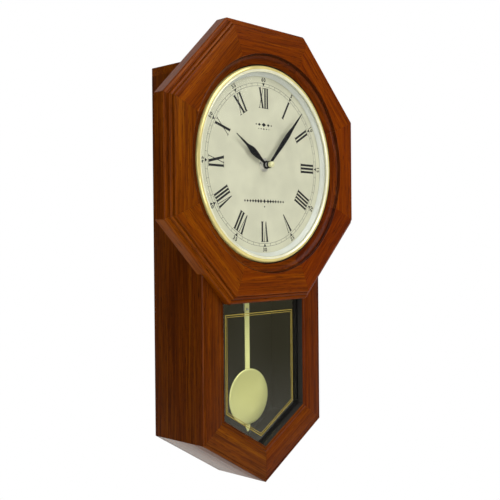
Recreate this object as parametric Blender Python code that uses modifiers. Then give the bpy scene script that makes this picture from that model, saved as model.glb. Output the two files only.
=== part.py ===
"""Drop-octagon wall clock with a quartz chime movement and a pendulum.

Metres, +Z up. The wall is the plane y = 0 and the clock faces -Y, so a "depth"
below is the distance from the wall. Outlines are (x, z) pairs measured from the
dial centre, and turned profiles are (radius, depth) pairs.
"""
import math

import bmesh
import bpy

# ---------------------------------------------------------------- dimensions
HOOK_ABOVE_DIAL = 0.100          # hook's bearing point above the dial centre
JOINT_GAP = 0.0003               # clearance between touching pieces
HALF_GAP = JOINT_GAP / 2

# octagon frame
APOTHEM = 0.170                  # dial centre to the middle of an outer side
OCTAGON_BACK = 0.078
OCTAGON_FIELD = 0.1025           # flat front field
LAND_DEPTH = 0.0947              # stepped outer edge of the rails
HOLE_RADIUS = 0.117
COVE_RADIUS = 0.1343
COVE_INNER = 0.1243

# deep case behind the octagon
CASE_HALF_WIDTH = 0.1074
CASE_TOP = 0.1178
CASE_CORNER = -0.333             # where the side meets the sloping bottom
CASE_APEX = -0.397               # lowest point of the case
BOARD = 0.010
LOWER_SLOPE = math.atan2(CASE_CORNER - CASE_APEX, CASE_HALF_WIDTH)
BOTTOM_DISTANCE = -CASE_APEX * math.cos(LOWER_SLOPE)

# window frame under the octagon
FRAME_BACK = 0.068
FRAME_FRONT = 0.0863
WINDOW_HALF_WIDTH = 0.0724
WINDOW_APEX = -0.352
WINDOW_CORNER = WINDOW_APEX + WINDOW_HALF_WIDTH * math.tan(LOWER_SLOPE)
RABBET = 0.006
RABBET_DEPTH = 0.0779
STILE_WIDTH = CASE_HALF_WIDTH - WINDOW_HALF_WIDTH
LOWER_RAIL_WIDTH = (WINDOW_APEX - CASE_APEX) * math.cos(LOWER_SLOPE)
GLASS_BACK, GLASS_FRONT = 0.0749, 0.0774
GLASS_TOP = -0.155

# dial, bezel and hands
DIAL_FRONT = 0.0871
DIAL_RADIUS = 0.116
BEZEL_INNER, BEZEL_OUTER = 0.1144, 0.1218
CRYSTAL_RADIUS = 0.1156
CRYSTAL_CROWN = 0.106
SENSOR_DROP = 0.052
HOUR_HAND_LENGTH = 0.0633
MINUTE_HAND_LENGTH = 0.0922
MINUTE_ANGLE = math.radians(42.5)
HOUR_ANGLE = math.radians(300) + MINUTE_ANGLE / 12

# movement housing
HOUSING_HALF_WIDTH = 0.059
HOUSING_BOTTOM, HOUSING_TOP = -0.054, 0.038
HOUSING_BACK, HOUSING_FRONT = 0.050, 0.0815
WALL = 0.002
RIB_BOTTOM, RIB_TOP = -0.022, -0.020
BATTERY_Z, BATTERY_DEPTH, BATTERY_RADIUS = -0.037, 0.0665, 0.013
VOLUME_AT = (0.032, 0.022)
SELECTOR_Z = 0.0265
BUTTON_AT = (0.046, 0.002)

# motion work: both gear pairs share one centre distance
MESH_DISTANCE = 0.018
WHEEL_DIRECTION = math.radians(150)
WHEEL_AT = (MESH_DISTANCE * math.cos(WHEEL_DIRECTION), MESH_DISTANCE * math.sin(WHEEL_DIRECTION))
SET_AT = (WHEEL_AT[0] - MESH_DISTANCE, WHEEL_AT[1])
CANNON_TEETH, WHEEL_TEETH = 12, 36
PINION_TEETH, HOUR_TEETH = 10, 40
FAST_MODULE = 2 * MESH_DISTANCE / (CANNON_TEETH + WHEEL_TEETH)
SLOW_MODULE = 2 * MESH_DISTANCE / (PINION_TEETH + HOUR_TEETH)
FAST_LEVEL = (0.0750, 0.0770)
SLOW_LEVEL = (0.0778, 0.0798)

# pendulum
PIVOT_Z = -0.068
MAGNET_Z = -0.086
HOOK_HOLE_Z = -0.1817
ROD_TOP, ROD_TIP = -0.172, -0.3375
ROD_HALF_WIDTH = 0.0041
BOB_Z = -0.2928
BOB_RADIUS = 0.0355


# ---------------------------------------------------------------- scene set-up
for old in list(bpy.data.objects):
    bpy.data.objects.remove(old)

clock = bpy.data.collections.new("wall_clock")
cutters = bpy.data.collections.new("cutters")
bpy.context.scene.collection.children.link(clock)
bpy.context.scene.collection.children.link(cutters)

dial_centre = bpy.data.objects.new("dial_centre", None)
dial_centre.location = (0, 0, -HOOK_ABOVE_DIAL)
clock.objects.link(dial_centre)


def finish(name, colour, roughness, metallic=0.0, alpha=1.0):
    """Make a plain material."""
    material = bpy.data.materials.new(name)
    material.use_nodes = True
    shader = material.node_tree.nodes["Principled BSDF"]
    shader.inputs["Base Color"].default_value = (*colour, 1)
    shader.inputs["Roughness"].default_value = roughness
    shader.inputs["Metallic"].default_value = metallic
    shader.inputs["Alpha"].default_value = alpha
    return material


WOOD = finish("lacquered_wood", (0.20, 0.065, 0.012), 0.35)
PLY = finish("back_board", (0.16, 0.09, 0.045), 0.7)
BRASS = finish("brass", (0.80, 0.66, 0.30), 0.25, 1)
STEEL = finish("steel", (0.55, 0.55, 0.56), 0.35, 1)
GLASS = finish("glass", (0.9, 0.95, 0.93), 0.03, 0, 0.3)
CREAM = finish("dial_cream", (0.68, 0.66, 0.52), 0.5)
GREY = finish("rehaut_grey", (0.62, 0.62, 0.60), 0.4)
BLACK = finish("black_enamel", (0.012, 0.012, 0.012), 0.35)
PLASTIC = finish("black_plastic", (0.025, 0.025, 0.027), 0.5)
NYLON = finish("white_nylon", (0.75, 0.74, 0.70), 0.45)
BOARD_GREEN = finish("circuit_green", (0.03, 0.16, 0.07), 0.4)
COPPER = finish("copper_winding", (0.6, 0.25, 0.10), 0.4, 1)
CELL = finish("battery_sleeve", (0.05, 0.07, 0.12), 0.35)


# ---------------------------------------------------------------- shape helpers
def add(name, data, material, at=(0, 0), depth=0.0, turn=(math.pi / 2, 0, 0), cutter=False):
    """Place an object relative to the dial centre."""
    thing = bpy.data.objects.new(name, data)
    thing.parent = dial_centre
    thing.location = (at[0], -depth, at[1])
    thing.rotation_euler = turn
    if cutter:
        thing.hide_render = True
        thing.display_type = "WIRE"
        cutters.objects.link(thing)
    else:
        data.materials.append(material)
        clock.objects.link(thing)
    return thing


def outline_curve(name, loops, thickness):
    """A filled flat outline; loops after the first are holes."""
    curve = bpy.data.curves.new(name, "CURVE")
    curve.dimensions = "2D"
    curve.fill_mode = "BOTH"
    curve.extrude = thickness / 2
    for loop in loops:
        spline = curve.splines.new("POLY")
        spline.points.add(len(loop) - 1)
        for point, (x, y) in zip(spline.points, loop):
            point.co = (x, y, 0, 1)
        spline.use_cyclic_u = True
    return curve


def solid(curved):
    """Replace a curve object by its welded mesh."""
    bpy.context.view_layer.update()
    evaluated = curved.evaluated_get(bpy.context.evaluated_depsgraph_get())
    mesh = bpy.data.meshes.new_from_object(evaluated)
    work = bmesh.new()
    work.from_mesh(mesh)
    bmesh.ops.remove_doubles(work, verts=work.verts, dist=1e-6)
    bmesh.ops.recalc_face_normals(work, faces=work.faces)
    work.to_mesh(mesh)
    work.free()
    thing = bpy.data.objects.new(curved.name, mesh)
    thing.parent = dial_centre
    thing.location = curved.location
    thing.rotation_euler = curved.rotation_euler
    thing.hide_render = curved.hide_render
    thing.display_type = curved.display_type
    home = curved.users_collection[0]
    name = curved.name
    bpy.data.objects.remove(curved)
    home.objects.link(thing)
    thing.name = name
    return thing


def plate(name, loops, back, front, material=None, at=(0, 0), turn=0.0):
    """A flat piece between two depths; with no material it is a cutter."""
    curve = outline_curve(name, loops, front - back)
    flat = add(name, curve, material, at, (back + front) / 2, (math.pi / 2, turn, 0), material is None)
    return flat if material else solid(flat)


def moulding(name, profile, length, angle, material=None):
    """A straight moulding; its profile is (distance outwards, depth) at a clockwise angle."""
    curve = outline_curve(name, [profile], length)
    strip = add(name, curve, material, turn=(math.pi, angle - math.pi / 2, 0), cutter=material is None)
    return solid(strip)


def turned(name, profile, material=None, at=(0, 0), steps=48, closed=True):
    """A turned piece; the profile runs clockwise, front to back down its outer side."""
    mesh = bpy.data.meshes.new(name)
    edges = [(i, i + 1) for i in range(len(profile) - 1)]
    if closed:
        edges.append((len(profile) - 1, 0))
    mesh.from_pydata([(radius, 0, depth) for radius, depth in profile], edges, [])
    lathe = add(name, mesh, material, at, cutter=material is None)
    screw = lathe.modifiers.new("lathe", "SCREW")
    screw.axis = "Z"
    screw.steps = steps
    screw.render_steps = steps
    screw.use_merge_vertices = True
    screw.merge_threshold = 1e-5
    screw.use_smooth_shade = True
    return lathe


def block(name, x, z, depth, material=None):
    """A rectangular block given by its three (low, high) ranges."""
    mesh = bpy.data.meshes.new(name)
    work = bmesh.new()
    bmesh.ops.create_cube(work, size=1)
    bmesh.ops.scale(work, vec=(x[1] - x[0], depth[1] - depth[0], z[1] - z[0]), verts=work.verts)
    work.to_mesh(mesh)
    work.free()
    return add(name, mesh, material, (sum(x) / 2, sum(z) / 2), sum(depth) / 2, (0, 0, 0), material is None)


def combine(target, tool, operation):
    """Cut, join or intersect a target with a hidden tool object."""
    if tool.name not in cutters.objects:
        clock.objects.unlink(tool)
        cutters.objects.link(tool)
    tool.hide_render = True
    tool.display_type = "WIRE"
    modifier = target.modifiers.new(tool.name, "BOOLEAN")
    modifier.operation = operation
    modifier.object = tool
    return target


def circle(radius, centre=(0, 0), count=32, start=0.0):
    """Points on a circle."""
    turns = [start + 2 * math.pi * i / count for i in range(count)]
    return [(centre[0] + radius * math.cos(a), centre[1] + radius * math.sin(a)) for a in turns]


def arc(centre, radii, first, last, count):
    """Points on an elliptic arc between two angles in degrees."""
    points = []
    for i in range(count + 1):
        a = math.radians(first + (last - first) * i / count)
        points.append((centre[0] + radii[0] * math.cos(a), centre[1] + radii[1] * math.sin(a)))
    return points


def rectangle(x0, x1, z0, z1):
    """A rectangle's corners."""
    return [(x0, z0), (x1, z0), (x1, z1), (x0, z1)]


# ---------------------------------------------------------------- octagon frame
def octagon_frame():
    """Eight mitred rails round the dial, with a stepped edge and a round cove."""
    inner = APOTHEM - 0.060
    edge = APOTHEM
    profile = [(inner, OCTAGON_BACK), (edge, OCTAGON_BACK)]
    profile += arc((edge - 0.0025, LAND_DEPTH - 0.0025), (0.0025, 0.0025), 0, 90, 3)
    profile += [(edge - 0.0052, LAND_DEPTH)]
    profile += arc((edge - 0.0080, 0.0966), (0.0028, 0.0028), 0, 90, 3)
    profile += [(edge - 0.0080, 0.0985), (edge - 0.0088, 0.0985)]
    profile += [(edge - 0.0088, OCTAGON_FIELD - 0.0008), (edge - 0.0096, OCTAGON_FIELD)]
    profile += [(inner, OCTAGON_FIELD)]

    slope = math.tan(math.pi / 8)
    gap = HALF_GAP / math.cos(math.pi / 8)
    low, high = inner - 0.005, edge + 0.005
    wedge = [(-low * slope + gap, low), (low * slope - gap, low)]
    wedge += [(high * slope - gap, high), (-high * slope + gap, high)]

    opening = [(0, 0.112), (COVE_RADIUS, 0.112)]
    opening += arc((0.1258, 0.1013), (COVE_RADIUS - 0.1258, -0.0068), 0, 90, 4)
    opening += [(COVE_INNER, 0.0945), (COVE_INNER, 0.089), (HOLE_RADIUS, 0.089)]
    opening += [(HOLE_RADIUS, 0.0813), (0.126, 0.0813), (0.126, 0.070), (0, 0.070)]
    dial_opening = turned("dial_opening", opening, steps=64, closed=False)

    sides = ["top", "upper_right", "right", "lower_right", "bottom", "lower_left", "left", "upper_left"]
    for step, side in enumerate(sides):
        angle = step * math.pi / 4
        rail = moulding("octagon_rail_" + side, profile, 0.160, angle, WOOD)
        combine(rail, plate("rail_wedge_" + side, [wedge], 0.070, 0.110, turn=angle), "INTERSECT")
        combine(rail, dial_opening, "DIFFERENCE")


# ---------------------------------------------------------------- case
def case():
    """Two sides, a top, two sloping bottom boards and a loose back."""
    half, slope = CASE_HALF_WIDTH, math.tan(LOWER_SLOPE)
    inner = half - BOARD
    inner_apex = CASE_APEX + BOARD / math.cos(LOWER_SLOPE)
    inner_corner = inner_apex + inner * slope
    top = CASE_TOP - BOARD
    front = FRAME_BACK - JOINT_GAP
    for side, name in ((-1, "left"), (1, "right")):
        wall = [(side * half, top - JOINT_GAP), (side * inner, top - JOINT_GAP)]
        wall += [(side * inner, inner_corner + HALF_GAP), (side * half, CASE_CORNER + HALF_GAP)]
        plate("case_side_" + name, [wall], 0, front, WOOD)
        floor = [(side * half, CASE_CORNER - HALF_GAP), (side * inner, inner_corner - HALF_GAP)]
        floor += [(side * HALF_GAP, inner_apex), (side * HALF_GAP, CASE_APEX)]
        plate("bottom_board_" + name, [floor], 0, front, WOOD)
    block("case_top", (-half, half), (top, CASE_TOP), (0, OCTAGON_BACK - JOINT_GAP), WOOD)

    panel_half = inner - JOINT_GAP
    panel_low = inner_apex + JOINT_GAP / math.cos(LOWER_SLOPE)
    panel_top = 0.084
    panel = [(-panel_half, panel_top), (-panel_half, panel_low + panel_half * slope), (0, panel_low)]
    panel += [(panel_half, panel_low + panel_half * slope), (panel_half, panel_top)]
    access = rectangle(-0.075, 0.075, -0.088, 0.036)
    sound_slots = [rectangle(x - 0.0015, x + 0.0015, 0.050, 0.074) for x in (-0.016, -0.008, 0, 0.008, 0.016)]
    plate("back_panel", [panel, access] + sound_slots, 0.006, 0.009, PLY)


def wall_hanger():
    """A keyhole plate on a cleat with a pocket for the hook's head."""
    pocket = rectangle(-0.0075, 0.0075, 0.086, 0.104)
    screws = (-0.016, 0.016)
    screw_z = 0.095
    cleat_half = CASE_HALF_WIDTH - BOARD - JOINT_GAP
    cleat = rectangle(-cleat_half, cleat_half, 0.0843, CASE_TOP - BOARD - JOINT_GAP)
    holes = [circle(0.002, (x, screw_z), 12) for x in screws]
    plate("hanger_cleat", [cleat, pocket] + holes, 0.0028, 0.016, WOOD)

    slot_top = HOOK_ABOVE_DIAL - 0.0025
    throat = arc((0, slot_top), (0.0025, 0.0025), 0, 180, 6)
    bulb = arc((0, 0.0905), (0.005, 0.005), 120, 420, 12)
    outline = rectangle(-0.022, 0.022, 0.0848, 0.1045)
    plate("hanger_plate", [outline, throat + bulb] + holes, 0.0012, 0.0025, STEEL)
    for x, side in zip(screws, ("left", "right")):
        screw = [(0, 0.012), (0.0015, 0.0105), (0.0015, 0.0009)]
        screw += [(0.0034, 0.0009), (0.0034, 0.0002), (0, 0.0002)]
        turned("hanger_screw_" + side, screw, STEEL, (x, screw_z), 12, False)


# ---------------------------------------------------------------- window
def frame_profile(outer, width):
    """Section of a window rail: rounded outer edge, fine groove, inner hollow, lip and rabbet."""
    face = FRAME_FRONT
    profile = [(outer, FRAME_BACK), (outer, face - 0.0016)]
    profile += [(outer - 0.0006, face - 0.0005), (outer - 0.0018, face)]
    profile += [(outer - 0.0027, face), (outer - 0.0031, face - 0.0009), (outer - 0.0035, face)]
    inner = outer - width
    profile += [(inner + 0.0056, face), (inner + 0.0050, face - 0.0010), (inner + 0.0018, face - 0.0013)]
    profile += [(inner + 0.0010, face - 0.0003), (inner, face - 0.0006)]
    profile += [(inner, RABBET_DEPTH), (inner + RABBET, RABBET_DEPTH), (inner + RABBET, FRAME_BACK)]
    return profile


def window():
    """Stiles and sloping rails with mitred corners, the pane and its fixing strips."""
    corner_radius = (APOTHEM + JOINT_GAP) / math.cos(math.pi / 8)
    octagon = circle(corner_radius, count=8, start=math.pi / 8)
    clearance = plate("octagon_clearance", [octagon], OCTAGON_BACK - JOINT_GAP, 0.095)
    mitre = (WINDOW_CORNER - CASE_CORNER) / STILE_WIDTH
    outside, inside = CASE_HALF_WIDTH + 0.005, WINDOW_HALF_WIDTH - 0.004
    outside_z = CASE_CORNER - 0.005 * mitre
    inside_z = WINDOW_CORNER + 0.004 * mitre
    top = CASE_TOP - BOARD - JOINT_GAP
    for side, name in ((-1, "left"), (1, "right")):
        section = frame_profile(CASE_HALF_WIDTH, STILE_WIDTH)
        stile = moulding("stile_" + name, section, 1.0, side * math.pi / 2, WOOD)
        ends = [(side * outside, top), (side * inside, top)]
        ends += [(side * inside, inside_z + HALF_GAP), (side * outside, outside_z + HALF_GAP)]
        combine(stile, plate("stile_ends_" + name, [ends], 0.060, 0.095), "INTERSECT")
        combine(stile, clearance, "DIFFERENCE")

        angle = side * (math.pi - LOWER_SLOPE)
        section = frame_profile(BOTTOM_DISTANCE, LOWER_RAIL_WIDTH)
        rail = moulding("lower_rail_" + name, section, 0.44, angle, WOOD)
        ends = [(side * outside, outside_z - HALF_GAP), (side * inside, inside_z - HALF_GAP)]
        ends += [(side * HALF_GAP, WINDOW_APEX + 0.012), (side * HALF_GAP, CASE_APEX - 0.01)]
        ends += [(side * outside, CASE_APEX - 0.01)]
        combine(rail, plate("lower_rail_ends_" + name, [ends], 0.060, 0.095), "INTERSECT")

        bead = (WINDOW_HALF_WIDTH - 0.001, WINDOW_HALF_WIDTH + RABBET - 0.001)
        x = bead if side > 0 else (-bead[1], -bead[0])
        bead_depth = (0.0705, GLASS_BACK - JOINT_GAP)
        block("glass_bead_" + name, x, (WINDOW_CORNER + 0.004, GLASS_TOP), bead_depth, WOOD)

    reach = WINDOW_HALF_WIDTH + RABBET
    block("window_head", (-reach + JOINT_GAP, reach - JOINT_GAP), (GLASS_TOP + JOINT_GAP, -0.138),
          (FRAME_BACK, GLASS_FRONT), WOOD)
    half = reach - 0.0005
    apex = WINDOW_APEX - (RABBET - 0.0005) / math.cos(LOWER_SLOPE)
    corner = apex + half * math.tan(LOWER_SLOPE)
    pane = [(-half, GLASS_TOP), (-half, corner), (0, apex), (half, corner), (half, GLASS_TOP)]
    plate("window_glass", [pane], GLASS_BACK, GLASS_FRONT, GLASS)


# ---------------------------------------------------------------- dial group
def dial():
    """Dial pan, dial, slanted ring, bezel, domed crystal and the light window."""
    pan = [(0.005, 0.086), (0.1164, 0.086), (0.1164, 0.081), (0.1257, 0.081), (0.1257, 0.0783)]
    pan += [(0.1138, 0.0783), (0.1138, 0.0833), (0.005, 0.0833)]
    turned("dial_pan", pan, PLASTIC, steps=64)

    window_hole = circle(0.0013, (0, -SENSOR_DROP), 12)
    plate("dial_plate", [circle(DIAL_RADIUS, count=64), circle(0.005, count=24), window_hole],
          0.0863, DIAL_FRONT, CREAM)
    turned("light_sensor", [(0, 0.0873), (0.001, 0.0873), (0.001, 0.0864), (0, 0.0864)], BLACK,
           (0, -SENSOR_DROP), 12, False)
    rehaut = [(0.1136, 0.0919), (0.1158, 0.0919), (0.1158, 0.0874), (0.1097, 0.0874)]
    turned("rehaut_ring", rehaut, GREY, steps=64)

    bezel = [(BEZEL_INNER, 0.0954), (0.1162, 0.0963), (0.1187, 0.0963), (0.1207, 0.0953)]
    bezel += [(BEZEL_OUTER, 0.0934)]
    bezel += [(BEZEL_OUTER, 0.0893), (0.1161, 0.0893), (0.1161, 0.0947), (BEZEL_INNER, 0.0947)]
    turned("bezel_ring", bezel, BRASS, steps=64)

    rim_back, rim_front, thickness = 0.0922, 0.0944, 0.002
    dome_radius = BEZEL_INNER - JOINT_GAP
    outer = arc((0, rim_front), (dome_radius, CRYSTAL_CROWN - rim_front), 90, 0, 7)
    inner = arc((0, rim_back), (dome_radius - 0.0018, CRYSTAL_CROWN - thickness - rim_back), 0, 90, 7)
    outer[0] = (0, CRYSTAL_CROWN)
    inner[-1] = (0, CRYSTAL_CROWN - thickness)
    rim = [(CRYSTAL_RADIUS, rim_front), (CRYSTAL_RADIUS, rim_back)]
    turned("crystal", outer + rim + inner, GLASS, steps=48, closed=False)

    hexagon = circle(0.0068, count=6)
    plate("dial_nut", [hexagon, circle(0.0048, count=24)], 0.0874, 0.0899, BRASS)


def hand_outline(boss, stem, peak, widest, needle, narrow, length):
    """Half-widths along a leaf-shaped hand, eased between stem, widest point and needle."""
    stations = [(boss * 0.9, stem, peak, widest), (peak, widest, needle, narrow)]
    stations += [(needle, narrow, length, 0.0003)]
    edge = []
    for start, first, end, last in stations:
        for i in range(5):
            t = i / 5
            eased = (1 - math.cos(math.pi * t)) / 2
            edge.append((first + (last - first) * eased, start + (end - start) * t))
    edge.append((0.0003, length))
    boss_arc = arc((0, 0), (boss, boss), -244, 64, 14)
    return boss_arc + edge + [(-x, z) for x, z in reversed(edge)]


def hands():
    """Hour hand, minute hand and the cap that closes the arbor."""
    hour = hand_outline(0.0052, 0.0014, 0.0270, 0.0048, 0.0450, 0.0010, HOUR_HAND_LENGTH)
    hour_loops = [hour, circle(0.0029, count=16)]
    plate("hour_hand", hour_loops, 0.0908, 0.0916, BLACK, turn=HOUR_ANGLE)
    minute = hand_outline(0.0046, 0.0017, 0.0520, 0.0037, 0.0780, 0.0010, MINUTE_HAND_LENGTH)
    minute_loops = [minute, circle(0.0017, count=16)]
    plate("minute_hand", minute_loops, 0.0956, 0.0964, BLACK, turn=MINUTE_ANGLE)
    cap = [(0, 0.1010), (0.0022, 0.1007), (0.0034, 0.0998), (0.0038, 0.0984), (0.0038, 0.0967)]
    cap += [(0.0017, 0.0967), (0.0017, 0.0993), (0, 0.0993)]
    turned("hand_cap", cap, BRASS, steps=20, closed=False)


# ---------------------------------------------------------------- movement
def movement():
    """Plastic housing, front plate with its bush, train plate, motor and circuit."""
    outside = rectangle(-HOUSING_HALF_WIDTH, HOUSING_HALF_WIDTH, HOUSING_BOTTOM, HOUSING_TOP)
    inside = HOUSING_HALF_WIDTH - WALL
    gear_bay = rectangle(-inside, inside, RIB_TOP, HOUSING_TOP - WALL)
    battery_bay = rectangle(-inside, inside, HOUSING_BOTTOM + WALL, RIB_BOTTOM)
    battery_door = rectangle(-0.054, 0.054, -0.0505, -0.0235)
    selector_slot = rectangle(-0.008, 0.008, SELECTOR_Z - 0.0025, SELECTOR_Z + 0.0025)
    back_holes = [battery_door, selector_slot, circle(0.0032, SET_AT, 12)]
    back_holes += [circle(0.0032, VOLUME_AT, 12), circle(0.0034, BUTTON_AT, 12)]
    walls = [outside, gear_bay, battery_bay]
    housing = solid(plate("movement_case", walls, 0.051, HOUSING_FRONT, PLASTIC))
    back = plate("movement_back", [outside] + back_holes, HOUSING_BACK, 0.052)
    combine(housing, back, "UNION")

    front_loops = [outside, circle(0.0036, count=24)]
    front = solid(plate("movement_front_plate", front_loops, 0.0818, 0.0830, PLASTIC))
    bush = [(0.0029, 0.0896), (0.0045, 0.0896), (0.0045, 0.0810), (0.0029, 0.0810)]
    combine(front, turned("centre_bush", bush, steps=24), "UNION")

    train_loops = [rectangle(-0.046, 0.034, -0.018, 0.031)]
    train_loops += [circle(0.0018, count=16), circle(0.0018, SET_AT, 16)]
    train = solid(plate("train_plate", train_loops, 0.0715, 0.0733, NYLON))
    post = [(0, 0.0812), (0.0015, 0.0812), (0.0015, 0.0720), (0, 0.0720)]
    combine(train, turned("wheel_post", post, None, WHEEL_AT, 12, False), "UNION")

    motor = [rectangle(-0.014, 0.020, -0.012, 0.016), circle(0.0020, count=12)]
    plate("motor_module", motor, 0.0602, 0.0709, COPPER)
    circuit = [rectangle(-0.050, 0.050, -0.018, 0.034), circle(0.004, SET_AT, 12)]
    plate("circuit_board", circuit, 0.0580, 0.0596, BOARD_GREEN)


def power():
    """Two cells end to end, their contacts and the lift-off cover."""
    for side, name in ((-1, "left"), (1, "right")):
        cell = [(0, 0.0250), (0.0035, 0.0250), (0.0035, 0.0235), (BATTERY_RADIUS, 0.0235)]
        cell += [(BATTERY_RADIUS, -0.0250), (0, -0.0250)]
        battery = turned("battery_" + name, cell, CELL, (side * 0.0256, BATTERY_Z), 20, False)
        battery.location.y = -BATTERY_DEPTH
        battery.rotation_euler = (0, math.pi / 2, 0)
        x = sorted((side * 0.0528, side * 0.0566))
        z = (BATTERY_Z - 0.006, BATTERY_Z + 0.006)
        block("battery_contact_" + name, x, z, (0.0605, 0.0725), STEEL)
    cover = rectangle(-0.0565, 0.0565, -0.0530, -0.0210)
    lid = solid(plate("battery_cover", [cover], 0.0482, 0.0497, PLASTIC))
    plug = rectangle(-0.0536, 0.0536, -0.0501, -0.0239)
    combine(lid, plate("battery_cover_plug", [plug], 0.0490, 0.0517), "UNION")


def controls():
    """Volume knob, three-way chime selector and test button on the back of the movement."""
    volume = [(0, 0.0576), (0.0026, 0.0576), (0.0026, 0.0476)]
    volume += [(0.0080, 0.0476), (0.0080, 0.0400), (0, 0.0400)]
    turned("volume_knob", volume, PLASTIC, VOLUME_AT, 24, False)
    lever_z = (SELECTOR_Z - 0.0021, SELECTOR_Z + 0.0021)
    lever = block("chime_selector", (-0.0022, 0.0022), lever_z, (0.0460, 0.0576), NYLON)
    keeper_z = (SELECTOR_Z - 0.0045, SELECTOR_Z + 0.0045)
    keeper = block("selector_keeper", (-0.009, 0.009), keeper_z, (0.0523, 0.0535))
    combine(lever, keeper, "UNION")
    button = [(0, 0.0534), (0.0046, 0.0534), (0.0046, 0.0523)]
    button += [(0.0029, 0.0523), (0.0029, 0.0465), (0, 0.0465)]
    turned("test_button", button, NYLON, BUTTON_AT, 16, False)


def gear_outline(teeth, module, phase):
    """Tooth outline with involute-like flanks and generous backlash."""
    pitch = module * teeth / 2
    levels = [(pitch - 1.15 * module, 0.27), (pitch, 0.205), (pitch + 0.80 * module, 0.09)]
    points = []
    for tooth in range(teeth):
        middle = phase + 2 * math.pi * tooth / teeth
        rising = [(radius, middle - share * 2 * math.pi / teeth) for radius, share in levels]
        falling = [(radius, middle + share * 2 * math.pi / teeth) for radius, share in reversed(levels)]
        points += [(radius * math.cos(a), radius * math.sin(a)) for radius, a in rising + falling]
    return points


def motion_work():
    """Cannon pinion, minute wheel, hour wheel and the time-setting arbor, all in mesh."""
    arbor = [(0, 0.0990), (0.0014, 0.0990), (0.0014, 0.0625), (0, 0.0625)]
    cannon = turned("cannon_pinion", arbor, STEEL, steps=12, closed=False)
    cannon_teeth = gear_outline(CANNON_TEETH, FAST_MODULE, 0)
    combine(cannon, plate("cannon_teeth", [cannon_teeth], *FAST_LEVEL), "UNION")

    wheel_turn = math.pi / WHEEL_TEETH
    wheel_teeth = gear_outline(WHEEL_TEETH, FAST_MODULE, wheel_turn)
    wheel = solid(plate("minute_wheel", [wheel_teeth], *FAST_LEVEL, NYLON, WHEEL_AT))
    pinion_turn = WHEEL_DIRECTION + math.pi
    pinion = gear_outline(PINION_TEETH, SLOW_MODULE, pinion_turn)
    pinion_teeth = plate("minute_wheel_pinion", [pinion], 0.0765, SLOW_LEVEL[1], None, WHEEL_AT)
    combine(wheel, pinion_teeth, "UNION")
    wheel_bore = [(0, 0.085), (0.0018, 0.085), (0.0018, 0.070), (0, 0.070)]
    combine(wheel, turned("minute_wheel_bore", wheel_bore, None, WHEEL_AT, 16, False), "DIFFERENCE")

    hour_turn = WHEEL_DIRECTION + math.pi / HOUR_TEETH
    hour_teeth = gear_outline(HOUR_TEETH, SLOW_MODULE, hour_turn)
    hour = solid(plate("hour_wheel", [hour_teeth], *SLOW_LEVEL, NYLON))
    pipe = [(0, 0.0922), (0.0026, 0.0922), (0.0026, 0.0785), (0, 0.0785)]
    combine(hour, turned("hour_pipe", pipe, steps=24, closed=False), "UNION")
    pipe_bore = [(0, 0.095), (0.00175, 0.095), (0.00175, 0.075), (0, 0.075)]
    combine(hour, turned("hour_pipe_bore", pipe_bore, steps=16, closed=False), "DIFFERENCE")

    knob = [(0, FAST_LEVEL[1]), (0.0015, FAST_LEVEL[1]), (0.0015, 0.0475)]
    knob += [(0.0070, 0.0475), (0.0070, 0.0400), (0, 0.0400)]
    setter = turned("time_set_knob", knob, PLASTIC, SET_AT, 24, False)
    set_top = FAST_LEVEL[1] - 0.0002
    set_teeth = plate("set_teeth", [cannon_teeth], FAST_LEVEL[0], set_top, None, SET_AT)
    combine(setter, set_teeth, "UNION")


def speaker():
    """Small loudspeaker facing the slots in the back."""
    basket = [(0, 0.026), (0.011, 0.026), (0.011, 0.018), (0.0175, 0.0115), (0.0195, 0.0115)]
    basket += [(0.0195, 0.0093), (0.0165, 0.0093), (0.006, 0.0150), (0, 0.0150)]
    turned("speaker", basket, PLASTIC, (0, 0.062), 32, False)


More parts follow.
